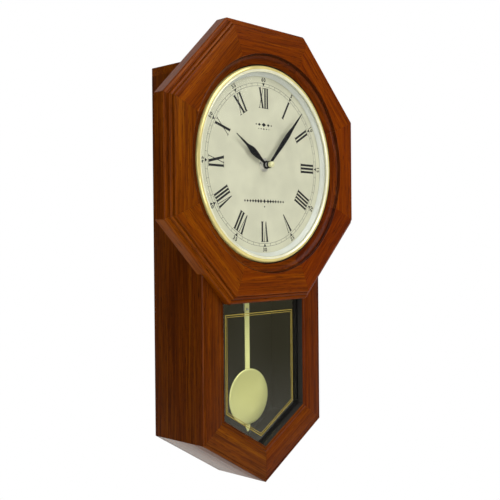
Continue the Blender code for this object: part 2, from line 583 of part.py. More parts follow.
# ---------------------------------------------------------------- pendulum
def pendulum():
    """Drive case with its coil and pivot, and the swinging hanger, magnet, rod and bob."""
    outside = rectangle(-0.032, 0.032, -0.100, HOUSING_BOTTOM - 0.0008)
    inside = rectangle(-0.030, 0.030, -0.098, HOUSING_BOTTOM - 0.0028)
    drive = solid(plate("pendulum_drive_case", [outside, inside], 0.0595, 0.076, PLASTIC))
    combine(drive, plate("drive_back", [outside], 0.0585, 0.0605), "UNION")
    post = [(0, 0.0600), (0.002, 0.0600), (0.002, 0.0505), (0, 0.0505)]
    combine(drive, turned("pivot_post", post, None, (0, PIVOT_Z), 16, False), "UNION")
    coil = [(0.0035, 0.0700), (0.0100, 0.0700), (0.0100, 0.0608), (0.0035, 0.0608)]
    turned("pendulum_coil", coil, COPPER, (0, MAGNET_Z), 24)

    tip = HOOK_HOLE_Z - 0.005 - PIVOT_Z
    strap = arc((0, 0), (0.0070, 0.0070), -30, 210, 12)
    strap += [(-0.0032, -0.026), (-0.0032, tip + 0.003), (0, tip), (0.0032, tip + 0.003), (0.0032, -0.026)]
    leader_loops = [strap, circle(0.0023, count=16)]
    leader = solid(plate("pendulum_leader", leader_loops, 0.0518, 0.0534, NYLON, (0, PIVOT_Z)))
    pin = [(0, 0.0570), (0.0012, 0.0570), (0.0012, 0.0526), (0, 0.0526)]
    combine(leader, turned("hook_pin", pin, None, (0, HOOK_HOLE_Z), 12, False), "UNION")
    magnet = [(0, 0.0570), (0.005, 0.0570), (0.005, 0.0537), (0, 0.0537)]
    turned("pendulum_magnet", magnet, STEEL, (0, MAGNET_Z), 16, False)

    half = ROD_HALF_WIDTH
    top, tip = ROD_TOP - PIVOT_Z, ROD_TIP - PIVOT_Z
    strip = arc((0, top - half), (half, half), 0, 180, 6)
    strip += [(-half, tip + 0.006), (-0.0012, tip), (0.0012, tip), (half, tip + 0.006)]
    hole = circle(0.0016, (0, HOOK_HOLE_Z - PIVOT_Z), 12)
    plate("pendulum_rod", [strip, hole], 0.0540, 0.0552, BRASS, (0, PIVOT_Z))

    bob = arc((0, 0.0570), (BOB_RADIUS, 0.0030), 90, 15, 5)
    bob[0] = (0, 0.0600)
    bob += [(BOB_RADIUS, 0.0569), (BOB_RADIUS, 0.0561), (BOB_RADIUS - 0.0008, 0.0555), (0, 0.0555)]
    turned("pendulum_bob", bob, BRASS, (0, BOB_Z), 48, False)


octagon_frame()
case()
wall_hanger()
window()
dial()
hands()
movement()
power()
controls()
motion_work()
speaker()
pendulum()
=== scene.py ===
"""Drop-octagon wall clock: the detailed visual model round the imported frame.

Metres. Flat and turned pieces are drawn in a local frame whose x runs to the
viewer's right, y up and z out from the wall, with its origin at the dial centre.
"""
import math

import bmesh
import bpy
from mathutils import Matrix, Vector


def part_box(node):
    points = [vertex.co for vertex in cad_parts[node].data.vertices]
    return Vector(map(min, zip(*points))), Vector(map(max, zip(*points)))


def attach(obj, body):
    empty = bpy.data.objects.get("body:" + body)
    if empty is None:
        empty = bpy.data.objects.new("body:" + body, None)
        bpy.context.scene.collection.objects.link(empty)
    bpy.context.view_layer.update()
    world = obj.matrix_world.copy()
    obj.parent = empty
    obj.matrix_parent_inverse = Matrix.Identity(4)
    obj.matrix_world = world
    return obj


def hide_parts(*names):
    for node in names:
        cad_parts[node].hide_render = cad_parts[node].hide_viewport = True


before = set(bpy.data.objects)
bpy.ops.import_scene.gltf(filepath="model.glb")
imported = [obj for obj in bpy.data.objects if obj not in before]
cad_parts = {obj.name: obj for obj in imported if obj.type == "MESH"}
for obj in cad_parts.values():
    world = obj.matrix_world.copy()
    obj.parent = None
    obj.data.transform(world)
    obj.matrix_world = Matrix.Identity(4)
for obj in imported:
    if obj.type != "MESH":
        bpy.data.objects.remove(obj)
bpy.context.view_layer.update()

scene = bpy.context.scene
dial_low, dial_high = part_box("dial_plate")
DIAL_Z = (dial_low[2] + dial_high[2]) / 2
LEAF = math.radians(22.5)  # half the angle that one octagon rail takes up
MITRE_GAP = 0.00008        # each side of a mitre


# ---------------------------------------------------------------- camera
def camera():
    """The viewpoint: level with the case and well to its left."""
    azimuth, elevation, roll = (math.radians(v) for v in (-46.3855, 0.43, -0.5339))
    right = Vector((math.cos(azimuth), math.sin(azimuth), 0))
    level = Vector((math.sin(azimuth), -math.cos(azimuth), 0)) * math.cos(elevation)
    back = level + Vector((0, 0, math.sin(elevation)))
    up = back.cross(right)
    rolled_right = right * math.cos(roll) + up * math.sin(roll)
    rolled_up = up * math.cos(roll) - right * math.sin(roll)
    data = bpy.data.cameras.new("camera")
    data.sensor_width, data.lens = 36, 60.546
    data.clip_start, data.clip_end = 0.01, 100
    thing = bpy.data.objects.new("camera", data)
    scene.collection.objects.link(thing)
    turn = Matrix((rolled_right, rolled_up, back)).transposed().to_4x4()
    thing.matrix_world = Matrix.Translation((-0.7734, -0.7982, DIAL_Z - 0.0980)) @ turn
    scene.camera = thing


camera()


# ---------------------------------------------------------------- node helpers
class Nodes:
    """Short-hand for building one material."""

    def __init__(self, name):
        self.material = bpy.data.materials.new(name)
        self.material.use_nodes = True
        self.tree = self.material.node_tree
        self.shader = self.tree.nodes["Principled BSDF"]

    def node(self, kind, **settings):
        made = self.tree.nodes.new("ShaderNode" + kind)
        for key, value in settings.items():
            setattr(made, key, value)
        return made

    def link(self, source, target):
        self.tree.links.new(source, target)

    def put(self, socket, value):
        """Link a socket or set a value."""
        if hasattr(value, "is_output"):
            self.link(value, socket)
        else:
            socket.default_value = value

    def coords(self, size, angle=0.0, offset=(0, 0, 0)):
        """Object coordinates turned about local z, then divided by a feature size."""
        source = self.node("TexCoord").outputs["Object"]
        mapping = self.node("Mapping", vector_type="TEXTURE")
        self.link(source, mapping.inputs["Vector"])
        mapping.inputs["Rotation"].default_value = (0, 0, angle)
        mapping.inputs["Location"].default_value = offset
        mapping.inputs["Scale"].default_value = size
        return mapping.outputs["Vector"]

    def noise(self, vector, detail=3.0, distortion=0.0):
        """Cloudy noise with features about one unit across."""
        made = self.node("TexNoise")
        self.link(vector, made.inputs["Vector"])
        made.inputs["Scale"].default_value = 1.0
        made.inputs["Detail"].default_value = detail
        made.inputs["Roughness"].default_value = 0.55
        made.inputs["Distortion"].default_value = distortion
        return made.outputs["Fac"]

    def maths(self, operation, a, b=0.0, c=0.0):
        made = self.node("Math", operation=operation)
        for socket, value in zip(made.inputs, (a, b, c)):
            self.put(socket, value)
        return made.outputs[0]

    def span(self, value, low, high, to_low=0.0, to_high=1.0):
        made = self.node("MapRange")
        made.clamp = True
        for socket, item in zip(made.inputs, (value, low, high, to_low, to_high)):
            self.put(socket, item)
        return made.outputs[0]

    def ramp(self, factor, *stops):
        made = self.node("ValToRGB")
        self.link(factor, made.inputs[0])
        points = made.color_ramp.elements
        while len(points) < len(stops):
            points.new(0.5)
        for point, (place, colour) in zip(points, stops):
            point.position = place
            point.color = (*colour, 1)
        return made.outputs["Color"]

    def mix(self, factor, first, second, blend="MIX"):
        made = self.node("Mix", data_type="RGBA", blend_type=blend)
        self.put(made.inputs[0], factor)
        for socket, value in ((made.inputs[6], first), (made.inputs[7], second)):
            self.put(socket, value if hasattr(value, "is_output") else (*value, 1))
        return made.outputs[2]

    def bump(self, height, depth, strength=1.0):
        made = self.node("Bump")
        self.link(height, made.inputs["Height"])
        made.inputs["Distance"].default_value = depth
        made.inputs["Strength"].default_value = strength
        self.link(made.outputs["Normal"], self.shader.inputs["Normal"])

    def set(self, **values):
        for key, value in values.items():
            self.put(self.shader.inputs[key.replace("_", " ")], value)
        return self


# dark, middle and light wood, then the stain in the pores
WOOD_COLOURS = (
    (0.120, 0.0240, 0.0002),
    (0.205, 0.0480, 0.0003),
    (0.305, 0.0880, 0.0008),
    (0.050, 0.0100, 0.0006),
)


def wood(name, angle=0.0, seed=0.0, tone=1.0, warm=0.85, gloss=0.05):
    """Open-grained wood under brown lacquer; the grain runs at an angle from local x.

    tone scales the whole colour, warm scales its green, and gloss is the weight of the lacquer.
    """
    n = Nodes(name)
    shift = (seed * 0.37, seed * 0.11, seed * 0.05)
    figure = n.noise(n.coords((0.30, 0.018, 0.018), angle, shift), 2, 0.8)
    streak = n.noise(n.coords((0.12, 0.0030, 0.0030), angle, shift), 3, 0.5)
    pores = n.noise(n.coords((0.014, 0.0007, 0.0007), angle, shift), 2, 0.0)
    fine = n.noise(n.coords((0.050, 0.0013, 0.0013), angle, shift), 2, 0.2)
    body = n.maths("MULTIPLY_ADD", figure, 0.45, n.maths("MULTIPLY", streak, 0.55))
    shades = [(red * tone, green * warm * tone, blue * tone) for red, green, blue in WOOD_COLOURS]
    dark, middle, light, stain = shades
    colour = n.ramp(body, (0.34, dark), (0.50, middle), (0.66, light))
    lines = n.span(fine, 0.36, 0.54, 0.62, 1.0)
    colour = n.mix(1.0, colour, n.ramp(lines, (0.0, (0, 0, 0)), (1.0, (1, 1, 1))), "MULTIPLY")
    pore = n.span(pores, 0.32, 0.41, 0.0, 1.0)
    colour = n.mix(n.maths("SUBTRACT", 1.0, pore), colour, stain)
    n.set(Base_Color=colour, Roughness=n.span(streak, 0.3, 0.7, 0.38, 0.28), Specular_IOR_Level=0.06)
    n.set(Coat_Weight=gloss, Coat_Roughness=0.12, Coat_IOR=1.45)
    n.bump(n.maths("ADD", n.maths("MULTIPLY", pore, 0.7), n.maths("MULTIPLY", fine, 0.5)), 0.00006, 0.7)
    return n.material


def metal(name, colour, roughness, grain=0.02, anisotropy=0.0, metallic=1.0):
    """Polished or brushed metal with faint mottling."""
    n = Nodes(name)
    smudge = n.noise(n.coords((grain, grain, grain)), 3)
    darker = tuple(c * 0.86 for c in colour)
    n.set(Base_Color=n.mix(n.span(smudge, 0.35, 0.65), darker, colour), Metallic=metallic)
    n.set(Roughness=n.span(smudge, 0.3, 0.7, roughness * 0.8, roughness * 1.25))
    if anisotropy:
        n.set(Anisotropic=anisotropy)
        tangent = n.node("Tangent", direction_type="RADIAL", axis="Z")
        n.link(tangent.outputs[0], n.shader.inputs["Tangent"])
    return n.material


def moulded(name, colour, roughness=0.5, grain=0.0006, depth=0.00002):
    """Moulded plastic, enamel or card with a fine surface texture."""
    n = Nodes(name)
    fleck = n.noise(n.coords((grain, grain, grain)), 2)
    cloud = n.noise(n.coords((0.03, 0.03, 0.03)), 2)
    darker = tuple(c * 0.90 for c in colour)
    n.set(Base_Color=n.mix(n.span(cloud, 0.35, 0.65), darker, colour))
    n.set(Roughness=n.span(fleck, 0.3, 0.7, roughness * 0.9, roughness * 1.1))
    n.bump(fleck, depth, 0.6)
    return n.material


def clear_glass(name, tint, ior, share=1.0):
    """Thin glass: sight lines pass unbent, and the surface mirrors by its Fresnel share."""
    n = Nodes(name)
    through = n.node("BsdfTransparent")
    through.inputs["Color"].default_value = (*tint, 1)
    fresnel = n.node("Fresnel")
    fresnel.inputs["IOR"].default_value = ior
    n.set(Base_Color=(1, 1, 1, 1), Metallic=1.0, Roughness=0.0)
    outside = n.maths("MULTIPLY_ADD", n.node("NewGeometry").outputs["Backfacing"], -share, share)
    blend = n.node("MixShader")
    n.link(n.maths("MULTIPLY", fresnel.outputs[0], outside), blend.inputs[0])
    n.link(through.outputs[0], blend.inputs[1])
    n.link(n.shader.outputs[0], blend.inputs[2])
    n.link(blend.outputs[0], n.tree.nodes["Material Output"].inputs["Surface"])
    return n.material


BRASS = metal("polished_brass", (1.0, 0.86, 0.33), 0.12, metallic=0.30)
# painted highlight: a paler, less metallic copy of the brass for the bezel's inner lip
LIP_HIGHLIGHT_BRASS = metal("painted_highlight_brass", (0.97, 0.95, 0.70), 0.20, metallic=0.15)
BOB_BRASS = metal("spun_brass", (1.0, 0.98, 0.42), 0.38, 0.20, 0.70, 0.50)
ROD_BRASS = metal("rod_brass", (1.0, 0.97, 0.42), 0.40, 0.20, metallic=0.0)
CAP_BRASS = metal("cap_brass", (0.88, 0.86, 0.50), 0.34, metallic=0.4)
STEEL = metal("plated_steel", (0.62, 0.62, 0.64), 0.28)
SILVER = metal("nut_silver", (0.78, 0.77, 0.68), 0.30, metallic=0.5)
GOLD_LINE = metal("gold_line", (0.62, 0.47, 0.09), 0.45, 0.01, metallic=0.5)
CREAM = moulded("dial_paper", (0.64, 0.64, 0.47), 0.55, 0.0008)
REHAUT = moulded("ring_satin", (0.66, 0.69, 0.60), 0.35)
INK = moulded("printed_ink", (0.005, 0.005, 0.004), 0.7)
ENAMEL = moulded("hand_enamel", (0.008, 0.008, 0.009), 0.28)
BLACK = moulded("black_moulding", (0.018, 0.018, 0.020), 0.45)
NYLON = moulded("natural_nylon", (0.70, 0.69, 0.64), 0.42)
# painted shade: near-black for the inside of the case, the window's jamb and beads and the gap behind the
# bezel, where shade falls
PAINTED_SHADE = moulded("painted_shade_dark", (0.012, 0.010, 0.007), 0.7)
BOARD_GREEN = moulded("board_green", (0.02, 0.13, 0.05), 0.35)
COPPER = metal("copper_wire", (0.70, 0.32, 0.14), 0.35, 0.002)
CELL = moulded("cell_sleeve", (0.05, 0.07, 0.12), 0.32)
BACKING = wood("backing_board", math.pi / 2, 7, 0.55, 1.3)
CRYSTAL = clear_glass("crystal_glass", (1.0, 1.0, 1.0), 1.20, 0.30)
PANE = clear_glass("pane_glass", (0.98, 0.99, 0.97), 1.65)


# ---------------------------------------------------------------- piece helpers
def finish_piece(name, mesh, material, at, turn, body, nodes, crease, smooth=True):
    """Link a mesh drawn in the local frame, and tie it to its body and CAD nodes."""
    work = bmesh.new()
    work.from_mesh(mesh)
    bmesh.ops.remove_doubles(work, verts=work.verts, dist=1e-7)
    bmesh.ops.recalc_face_normals(work, faces=work.faces)
    work.to_mesh(mesh)
    work.free()
    if smooth:
        mesh.shade_smooth()
        mesh.set_sharp_from_angle(angle=math.radians(crease))
    mesh.materials.clear()
    mesh.materials.append(material)
    thing = bpy.data.objects.new(name, mesh)
    scene.collection.objects.link(thing)
    thing.location = (at[0], 0, DIAL_Z + at[1])
    thing.rotation_euler = (math.pi / 2, turn, 0)
    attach(thing, body)
    if nodes:
        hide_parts(*nodes)
    return thing


def from_faces(name, points, faces, material, at=(0, 0), turn=0.0, body="root", nodes=(),
               crease=35):
    mesh = bpy.data.meshes.new(name)
    mesh.from_pydata(points, [], faces)
    return finish_piece(name, mesh, material, at, turn, body, nodes, crease)


def lathe(name, profile, material, at=(0, 0), steps=192, body="root", nodes=(),
          crease=35, closed=True):
    """Turn a (radius, depth) profile about the local z axis."""
    points, rings = [], []
    for radius, depth in profile:
        if radius < 1e-7:
            rings.append([len(points)] * steps)
            points.append((0, 0, depth))
            continue
        rings.append(list(range(len(points), len(points) + steps)))
        for i in range(steps):
            a = 2 * math.pi * i / steps
            points.append((radius * math.cos(a), radius * math.sin(a), depth))
    faces = []
    pairs = list(zip(rings, rings[1:])) + ([(rings[-1], rings[0])] if closed else [])
    for first, second in pairs:
        for i in range(steps):
            j = (i + 1) % steps
            ring = [first[i], second[i], second[j], first[j]]
            ring = [v for k, v in enumerate(ring) if v not in ring[:k]]
            if len(ring) > 2:
                faces.append(ring)
    return from_faces(name, points, faces, material, at, 0, body, nodes, crease)


def curve_mesh(name, curve):
    """The mesh that a curve or a line of text makes."""
    holder = bpy.data.objects.new(name, curve)
    scene.collection.objects.link(holder)
    bpy.context.view_layer.update()
    graph = bpy.context.evaluated_depsgraph_get()
    mesh = bpy.data.meshes.new_from_object(holder.evaluated_get(graph))
    bpy.data.objects.remove(holder)
    return mesh


def flat_mesh(name, loops, back, front, bevel=0.0):
    """A filled outline given thickness, with an optional rounded edge; welded to a mesh."""
    curve = bpy.data.curves.new(name, "CURVE")
    curve.dimensions = "2D"
    curve.fill_mode = "BOTH"
    curve.extrude = (front - back) / 2 - bevel
    curve.bevel_depth = bevel
    curve.bevel_resolution = 2
    curve.offset = -bevel
    for loop in loops:
        spline = curve.splines.new("POLY")
        spline.points.add(len(loop) - 1)
        for point, (x, y) in zip(spline.points, loop):
            point.co = (x, y, 0, 1)
        spline.use_cyclic_u = True
    mesh = curve_mesh(name, curve)
    mesh.transform(Matrix.Translation((0, 0, (front + back) / 2)))
    return mesh


def plate(name, loops, back, front, material, turn=0.0, body="root", nodes=(),
          bevel=0.0):
    mesh = flat_mesh(name, loops, back, front, bevel)
    return finish_piece(name, mesh, material, (0, 0), turn, body, nodes, 35)


def arc(centre, radii, first, last, count):
    """Points on an elliptic arc, angles in degrees."""
    result = []
    for i in range(count + 1):
        a = math.radians(first + (last - first) * i / count)
        result.append((centre[0] + radii[0] * math.cos(a), centre[1] + radii[1] * math.sin(a)))
    return result


def circle(radius, centre=(0, 0), count=96):
    return arc(centre, (radius, radius), 0, 360 * (count - 1) / count, count - 1)


def rectangle(x0, x1, y0, y1):
    return [(x0, y0), (x1, y0), (x1, y1), (x0, y1)]


# ---------------------------------------------------------------- octagon
EDGE = 0.170            # dial centre to an outer edge
FIELD = 0.1025          # depth of the flat face
COVE_WALL = 0.1232      # radius of the wall round the bezel
QUIRK_INNER = 0.1333    # the groove between the cove and the face, painted dark as shade
QUIRK_OUTER = 0.1349
SIDES = ("top", "upper_right", "right", "lower_right", "bottom", "lower_left", "left", "upper_left")
# tone and warmth of each rail, in the same order
TINTS = ((0.90, 0.74), (0.92, 0.70), (0.84, 0.66), (0.78, 0.60),
         (0.94, 0.78), (0.93, 0.86), (0.76, 0.86), (0.95, 0.82))


def corner_radius_at(distance, azimuth, rounding):
    """Distance from the dial centre to an octagon line, eased round the corner."""
    rest = LEAF - abs(azimuth)
    centre = (distance - rounding) / math.cos(LEAF)
    tangent = math.atan2((distance - rounding) * math.tan(LEAF), distance)
    if abs(azimuth) <= tangent:
        return distance / math.cos(azimuth)
    inside = rounding * rounding - (centre * math.sin(rest)) ** 2
    return centre * math.cos(rest) + math.sqrt(max(inside, 0))


def octagon_rail(index, side, corner_sizes, tint):
    """One mitred rail: stepped outer edge, flat field and the cove round the dial."""
    straight = [(EDGE, 0.0780), (EDGE, 0.0850), (EDGE, 0.0915)]
    straight += arc((EDGE - 0.0024, 0.0923), (0.0024, 0.0024), 0, 90, 6)
    straight += [(EDGE - 0.0048, 0.0947), (EDGE - 0.0052, 0.0950), (EDGE - 0.0052, 0.0964)]
    straight += arc((EDGE - 0.0082, 0.0965), (0.0030, 0.0030), 5, 90, 8)
    straight += [(EDGE - 0.0086, 0.0992), (EDGE - 0.0088, 0.0988), (EDGE - 0.0091, 0.0988)]
    straight += [(EDGE - 0.0092, 0.1010)]
    straight += arc((EDGE - 0.0104, FIELD - 0.0012), (0.0012, 0.0012), 0, 90, 4)
    straight += [(EDGE - 0.0125, FIELD), (EDGE - 0.0200, FIELD)]
    cove = [(0.1358, FIELD)] + arc((0.1352, FIELD - 0.0005), (0.0005, 0.0005), 60, 180, 4)
    cove += [(0.1346, FIELD - 0.0016), (0.1338, FIELD - 0.0019)]
    cove += arc((0.1262, 0.1006), (0.0076, -0.0058), 0, 90, 12)
    cove += [(0.1252, 0.0947), (COVE_WALL, 0.0944), (COVE_WALL, 0.0890), (0.1180, 0.0890)]
    cove += [(0.1180, 0.0812), (0.1262, 0.0812), (0.1262, 0.0780)]
    fine = [0, 0.10, 0.22, 0.36, 0.52, 0.72, 1.0, 1.5]
    samples = [-22.5 + f for f in fine] + [-20 + 40 * i / 28 for i in range(29)]
    samples += [22.5 - f for f in reversed(fine)]
    points, faces = [], []
    width = len(straight) + len(cove)
    for column, degrees in enumerate(samples):
        azimuth = math.radians(degrees)
        rounding = corner_sizes[0] if degrees < 0 else corner_sizes[1]
        nudge = MITRE_GAP * (1 if column == 0 else -1 if column == len(samples) - 1 else 0)
        for distance, depth in straight:
            bend = max(rounding - (EDGE - distance), 0.0004)
            reach = corner_radius_at(distance, azimuth, bend)
            points.append((reach * math.sin(azimuth) + nudge, reach * math.cos(azimuth), depth))
        for radius, depth in cove:
            points.append((radius * math.sin(azimuth) + nudge, radius * math.cos(azimuth), depth))
    for column in range(len(samples) - 1):
        for row in range(width):
            a, b = column * width + row, column * width + (row + 1) % width
            faces.append((a, b, b + width, a + width))
    faces.append(tuple(range(width)))
    faces.append(tuple(range(len(points) - width, len(points)))[::-1])
    tone, warm = tint
    material = wood("rail_wood_" + side, 0, index + 1, tone, warm)
    thing = from_faces("rail_" + side, points, faces, material, turn=index * math.pi / 4,
                       nodes=["octagon_rail_" + side], crease=30)
    # painted shade: the wall and floor of the gap behind the bezel take the near-black material, the cove a
    # darker copy of the wood (tone 0.72) and the quirk groove a much darker one (0.32)
    thing.data.materials.append(PAINTED_SHADE)
    thing.data.materials.append(wood("cove_shade_wood_" + side, 0, index + 1, tone * 0.72, warm))
    thing.data.materials.append(wood("quirk_shade_wood_" + side, 0, index + 1, tone * 0.32, warm))
    for face in thing.data.polygons:
        reach, depth = math.hypot(face.center.x, face.center.y), face.center.z
        if reach < COVE_WALL + 0.0008 and depth < 0.0942:
            face.material_index = 1
        elif QUIRK_INNER < reach < QUIRK_OUTER:
            face.material_index = 3
        elif reach < QUIRK_INNER:
            face.material_index = 2


def octagon():
    big, small = 0.0055, 0.0030
    corners = [big, small, small, small, small, small, small, big]
    for index, side in enumerate(SIDES):
        octagon_rail(index, side, (corners[index - 1], corners[index]), TINTS[index])


# ---------------------------------------------------------------- case
HALF = 0.1074           # half the width of the case
TOP = 0.1178
WALL_TOP = 0.1078       # under the top board
CORNER = -0.333         # where the sides meet the sloping boards
APEX = -0.397
BOARD = 0.010           # thickness of the case boards
CASE_FRONT = 0.0679
SHADE_SHEET_FRONT = 0.0680
FRAME_BACK = 0.0681
WINDOW_HALF = 0.0724
WINDOW_APEX = -0.352
SLOPE = (CORNER - APEX) / HALF
WINDOW_CORNER = WINDOW_APEX + WINDOW_HALF * SLOPE
LEAN = math.atan(SLOPE)


def case():
    inner = HALF - BOARD
    low_corner = APEX + BOARD / math.cos(LEAN) + inner * SLOPE
    low_apex = APEX + BOARD / math.cos(LEAN)
    for side, name in ((-1, "left"), (1, "right")):
        wall = [(side * HALF, WALL_TOP), (side * inner, WALL_TOP)]
        wall += [(side * inner, low_corner + 0.0001), (side * HALF, CORNER + 0.0001)]
        # the low tone 0.55 is partly painted shade: it keeps the sides as dark as faces turned from the key
        # lamp
        material = wood("side_wood_" + name, math.pi / 2, 11 + side, 0.55)
        plate("side_" + name, [wall], 0, CASE_FRONT, material, nodes=["case_side_" + name], bevel=0.0006)
        floor = [(side * HALF, CORNER - 0.0001), (side * inner, low_corner - 0.0001)]
        floor += [(side * 0.00001, low_apex), (side * 0.00001, APEX)]
        material = wood("floor_wood_" + name, side * LEAN, 21 + side, 0.65, gloss=0.60)
        plate("floor_" + name, [floor], 0, CASE_FRONT, material, nodes=["bottom_board_" + name], bevel=0.0006)
    plate("top_board", [rectangle(-HALF, HALF, WALL_TOP, TOP)], 0, 0.0777, wood("top_wood", 0, 31, 0.80),
          nodes=["case_top"], bevel=0.0008)


def lining():
    """Near-black sheets against the inside faces of the case, behind the window: painted shade for the dim
    inside of the case.
    """
    inner = HALF - BOARD - 0.0002
    low_apex = APEX + (BOARD + 0.0002) / math.cos(LEAN)
    low, high, card = low_apex + inner * SLOPE, -0.1000, 0.0004
    back = [(-inner, high), (-inner, low), (0, low_apex), (inner, low), (inner, high)]
    plate("shade_sheet_back", [back], 0.0091, 0.0095, PAINTED_SHADE)
    for side, name in ((-1, "left"), (1, "right")):
        face = side * (inner - card)
        wall = [(side * inner, high), (face, high), (face, low), (side * inner, low)]
        plate("shade_sheet_" + name, [wall], 0.0096, SHADE_SHEET_FRONT, PAINTED_SHADE)
        floor = [(side * inner, low), (side * inner, low + card), (0, low_apex + card), (0, low_apex)]
        plate("shade_sheet_floor_" + name, [floor], 0.0096, SHADE_SHEET_FRONT, PAINTED_SHADE)


def frame_rows(width):
    """(distance inwards, depth) across the face of a window rail, from back outside to back inside."""
    k = width / 0.035
    front = 0.0863
    rows = [(0, FRAME_BACK), (0, 0.0835)] + arc((0.0022, front - 0.0022), (0.0022, 0.0022), 180, 90, 6)
    rows += [(0.0027, front), (0.0029, front - 0.0009), (0.0033, front - 0.0009)]
    rows += [(0.0036, front - 0.0001), (0.0042, front)]
    rows += [(0.0290, front), (0.0296, front - 0.0002), (0.0300, front - 0.0007), (0.0307, front - 0.0012)]
    rows += [(0.0330, front - 0.0014), (0.0339, front - 0.0012)]
    rows += [(0.0342, front - 0.0004), (0.0345, front - 0.0001)]
    rows += [(0.0348, front - 0.0002), (0.0350, front - 0.0007)]
    rows += [(0.0350, 0.0778), (0.0290, 0.0778), (0.0290, FRAME_BACK)]
    return [(x * k, y) for x, y in rows]


def swept(name, outer, inner, rows, width, material, nodes):
    """Sweep rows between two stations, each given by its outer and inner corner."""
    points, faces = [], []
    for (ox, oy), (ix, iy) in zip(outer, inner):
        for distance, depth in rows:
            share = distance / width
            points.append((ox + (ix - ox) * share, oy + (iy - oy) * share, depth))
    size = len(rows)
    for row in range(size):
        a, b = row, (row + 1) % size
        faces.append((a, b, b + size, a + size))
    faces.append(tuple(range(size)))
    faces.append(tuple(range(size, 2 * size))[::-1])
    thing = from_faces(name, points, faces, material, nodes=nodes, crease=30)
    # the edge round the glass and the rebate behind it are the last rows but one; they take the near-black
    # material as painted shade on the jamb
    thing.data.materials.append(PAINTED_SHADE)
    for face in thing.data.polygons[size - 4:size - 1]:
        face.material_index = 1


def window():
    stile_width = HALF - WINDOW_HALF
    rows = frame_rows(stile_width)
    shoulder = 0.1702 * math.sqrt(2)
    for side, name in ((-1, "left"), (1, "right")):
        # in front, the stile stops at the octagon's sloping side; behind, it runs to the top
        outer = [(side * HALF, HALF - shoulder), (side * HALF, CORNER + MITRE_GAP)]
        inner = [(side * WINDOW_HALF, WINDOW_HALF - shoulder)]
        inner += [(side * WINDOW_HALF, WINDOW_CORNER + MITRE_GAP)]
        material = wood("stile_wood_" + name, math.pi / 2, 41 + side, 0.58, 0.74 - 0.08 * side)
        swept("stile_" + name + "_lower", outer, inner, rows, stile_width, material, ["stile_" + name])
        upper = [(side * HALF, HALF - shoulder + 0.0001)]
        upper += [(side * WINDOW_HALF, WINDOW_HALF - shoulder + 0.0001)]
        upper += [(side * WINDOW_HALF, 0.1074), (side * HALF, 0.1074)]
        plate("stile_" + name + "_upper", [upper], FRAME_BACK, 0.0776, material)
        outer = [(side * HALF, CORNER - MITRE_GAP), (side * MITRE_GAP, APEX)]
        inner = [(side * WINDOW_HALF, WINDOW_CORNER - MITRE_GAP), (side * MITRE_GAP, WINDOW_APEX)]
        material = wood("rail_wood_lower_" + name, side * LEAN, 51 + side, 0.66, 0.84 - 0.08 * side)
        swept("sloping_rail_" + name, outer, inner, rows, stile_width, material, ["lower_rail_" + name])

    half, corner, apex, top = 0.0779, -0.3120, -0.3584, -0.1550
    pane = [(-half, top), (-half, corner), (0, apex), (half, corner), (half, top)]
    plate("pane", [pane], 0.0749, 0.0774, PANE, nodes=["window_glass"])
    for name, inset, thickness in (("outer", 0.0, 0.0010), ("inner", 0.0025, 0.0007)):
        loops = []
        for grow in (inset, inset + thickness):
            loops.append(border(0.0616 - grow, -0.1841 - grow, -0.3404 + grow * 1.16))
        plate("gold_border_" + name, loops, 0.0775, 0.07755, GOLD_LINE)


def border(half, top, apex):
    """Five-sided outline of the gold line, its lower sides parallel to the window rails."""
    corner = apex + half * SLOPE
    return [(-half, top), (-half, corner), (0, apex), (half, corner), (half, top)]


# ---------------------------------------------------------------- dial group
BEZEL_LIP = 0.1172      # inside this radius the bezel is paler: a painted highlight, in a paler, less metallic copy of the brass


